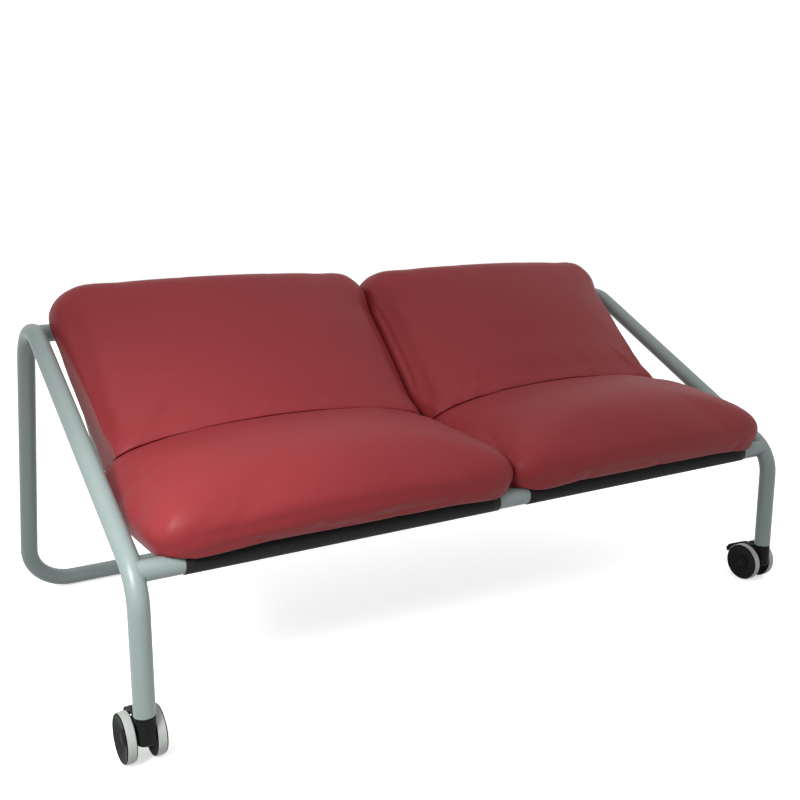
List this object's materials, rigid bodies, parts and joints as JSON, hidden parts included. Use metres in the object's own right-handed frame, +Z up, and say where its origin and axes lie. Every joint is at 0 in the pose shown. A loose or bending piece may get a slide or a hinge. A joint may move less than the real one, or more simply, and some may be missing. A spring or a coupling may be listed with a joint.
{
  "type": "office sofa",
  "caption": "Low lounge sofa with a bent-tube frame, loose padded seat and back cushions on slings, braked front casters and a rear floor hoop.",
  "frame": {"origin": "on the floor, midway across the width and midway through the depth", "axes": "+Z up, +X along the seats towards the right-hand end as seen from the front, -Y towards the front"},
  "size_m": [1.3906, 0.788, 0.6532],
  "materials": {
    "frame_paint": "smooth satin powder coat, pale grey-green",
    "red_leather": "smooth matte leather-like upholstery, deep red",
    "foam": "cut foam",
    "black_cloth": "tight woven cloth, black",
    "black_plastic": "fine-textured moulding, black",
    "grey_tyre": "smooth soft rubber, light grey",
    "steel": "bright zinc-plated"
  },
  "bodies": {
    "frame": {"left_side_tube": "frame_paint", "right_side_tube": "frame_paint", "rear_hoop": "frame_paint", "front_rail": "frame_paint", "top_rail": "frame_paint", "left_cradle_bar": "frame_paint", "centre_cradle_bar": "frame_paint", "right_cradle_bar": "frame_paint", "left_cradle_rail": "frame_paint", "right_cradle_rail": "frame_paint", "left_sling": "black_cloth", "right_sling": "black_cloth", "left_grip_strips": "black_cloth", "right_grip_strips": "black_cloth", "left_seat_cover": "red_leather", "left_seat_foam": "foam", "left_back_cover": "red_leather", "left_back_foam": "foam", "right_seat_cover": "red_leather", "right_seat_foam": "foam", "right_back_cover": "red_leather", "right_back_foam": "foam", "rear_floor_glides": "black_plastic", "left_leg_socket": "black_plastic", "right_leg_socket": "black_plastic"},
    "left_caster": {"left_caster_stem": "steel", "left_caster_housing": "black_plastic", "left_caster_axle": "steel", "left_pedal_pin": "steel"},
    "left_inner_wheel": {"left_inner_wheel_hub": "black_plastic", "left_inner_wheel_tyre": "grey_tyre", "left_inner_wheel_cap": "black_plastic"},
    "left_outer_wheel": {"left_outer_wheel_hub": "black_plastic", "left_outer_wheel_tyre": "grey_tyre", "left_outer_wheel_cap": "black_plastic"},
    "left_brake_pedal": {"left_brake_pedal": "black_plastic"},
    "right_caster": {"right_caster_stem": "steel", "right_caster_housing": "black_plastic", "right_caster_axle": "steel", "right_pedal_pin": "steel"},
    "right_inner_wheel": {"right_inner_wheel_hub": "black_plastic", "right_inner_wheel_tyre": "grey_tyre", "right_inner_wheel_cap": "black_plastic"},
    "right_outer_wheel": {"right_outer_wheel_hub": "black_plastic", "right_outer_wheel_tyre": "grey_tyre", "right_outer_wheel_cap": "black_plastic"},
    "right_brake_pedal": {"right_brake_pedal": "black_plastic"}
  },
  "joints": [
    {"name": "left_caster_swivel", "type": "hinge", "parent": "frame", "child": "left_caster", "pos_m": [-0.665, -0.378, 0.08], "axis": [0, 0, 1], "continuous": true},
    {"name": "left_inner_wheel_spin", "type": "hinge", "parent": "left_caster", "child": "left_inner_wheel", "pos_m": [-0.665, -0.351, 0.0375], "axis": [1, 0, 0], "continuous": true},
    {"name": "left_outer_wheel_spin", "type": "hinge", "parent": "left_caster", "child": "left_outer_wheel", "pos_m": [-0.665, -0.351, 0.0375], "axis": [1, 0, 0], "continuous": true},
    {"name": "left_brake_press", "type": "hinge", "parent": "left_caster", "child": "left_brake_pedal", "pos_m": [-0.665, -0.342, 0.06], "axis": [1, 0, 0], "range_deg": [-12, 0]},
    {"name": "right_caster_swivel", "type": "hinge", "parent": "frame", "child": "right_caster", "pos_m": [0.665, -0.378, 0.08], "axis": [0, 0, 1], "continuous": true},
    {"name": "right_inner_wheel_spin", "type": "hinge", "parent": "right_caster", "child": "right_inner_wheel", "pos_m": [0.665, -0.351, 0.0375], "axis": [1, 0, 0], "continuous": true},
    {"name": "right_outer_wheel_spin", "type": "hinge", "parent": "right_caster", "child": "right_outer_wheel", "pos_m": [0.665, -0.351, 0.0375], "axis": [1, 0, 0], "continuous": true},
    {"name": "right_brake_press", "type": "hinge", "parent": "right_caster", "child": "right_brake_pedal", "pos_m": [0.665, -0.342, 0.06], "axis": [1, 0, 0], "range_deg": [-12, 0]}
  ]
}
